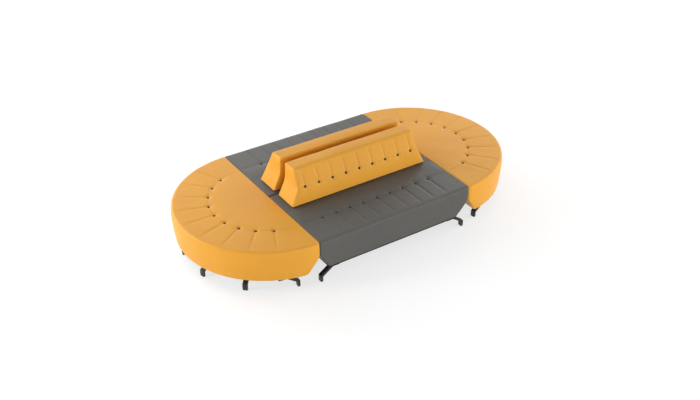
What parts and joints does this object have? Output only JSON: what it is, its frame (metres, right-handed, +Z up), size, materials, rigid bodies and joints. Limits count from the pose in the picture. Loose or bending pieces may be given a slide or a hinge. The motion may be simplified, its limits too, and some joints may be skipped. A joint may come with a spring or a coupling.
{
  "type": "oval island sofa",
  "caption": "Oval lobby sofa: back-to-back tufted benches with backrests, closed by half-round quilted end seats on short bent-tube feet.",
  "frame": {"origin": "on the floor under the middle of the sofa", "axes": "X runs along the benches, the front bench faces -Y, Z is up"},
  "size_m": [3.081, 1.606, 0.696],
  "materials": {
    "orange_cover": "soft orange upholstery leatherette with a fine grain and a satin sheen",
    "grey_cover": "dark grey upholstery leatherette with a fine grain and a satin sheen",
    "button_cover": "black leatherette drawn over a button shell",
    "black_board": "plywood under black dust cloth",
    "black_steel": "black powder coat, satin",
    "black_plastic": "moulded black plastic",
    "zinc_screw": "dark zinc plate"
  },
  "bodies": {
    "root": {"front_bench_seat": "grey_cover", "front_bench_base_board": "black_board", "front_backrest": "orange_cover", "front_backrest_base": "black_board", "front_backrest_stem_1": "black_steel", "front_backrest_stem_2": "black_steel", "front_bench_foot_1": "black_steel", "front_bench_foot_2": "black_steel", "front_bench_foot_3": "black_steel", "front_bench_foot_4": "black_steel", "front_bench_glide_1": "black_plastic", "front_bench_glide_2": "black_plastic", "front_bench_glide_3": "black_plastic", "front_bench_glide_4": "black_plastic", "rear_bench_seat": "grey_cover", "rear_bench_base_board": "black_board", "rear_backrest": "orange_cover", "rear_backrest_base": "black_board", "rear_backrest_stem_1": "black_steel", "rear_backrest_stem_2": "black_steel", "rear_bench_foot_1": "black_steel", "rear_bench_foot_2": "black_steel", "rear_bench_foot_3": "black_steel", "rear_bench_foot_4": "black_steel", "rear_bench_glide_1": "black_plastic", "rear_bench_glide_2": "black_plastic", "rear_bench_glide_3": "black_plastic", "rear_bench_glide_4": "black_plastic", "right_end_seat": "orange_cover", "right_end_base_board": "black_board", "right_end_foot_1": "black_steel", "right_end_foot_2": "black_steel", "right_end_foot_3": "black_steel", "right_end_foot_4": "black_steel", "right_end_foot_5": "black_steel", "right_end_foot_6": "black_steel", "right_end_glide_1": "black_plastic", "right_end_glide_2": "black_plastic", "right_end_glide_3": "black_plastic", "right_end_glide_4": "black_plastic", "right_end_glide_5": "black_plastic", "right_end_glide_6": "black_plastic", "left_end_seat": "orange_cover", "left_end_base_board": "black_board", "left_end_foot_1": "black_steel", "left_end_foot_2": "black_steel", "left_end_foot_3": "black_steel", "left_end_foot_4": "black_steel", "left_end_foot_5": "black_steel", "left_end_foot_6": "black_steel", "left_end_glide_1": "black_plastic", "left_end_glide_2": "black_plastic", "left_end_glide_3": "black_plastic", "left_end_glide_4": "black_plastic", "left_end_glide_5": "black_plastic", "left_end_glide_6": "black_plastic", "link_plate_1": "black_steel", "link_plate_2": "black_steel"}
  },
  "joints": []
}
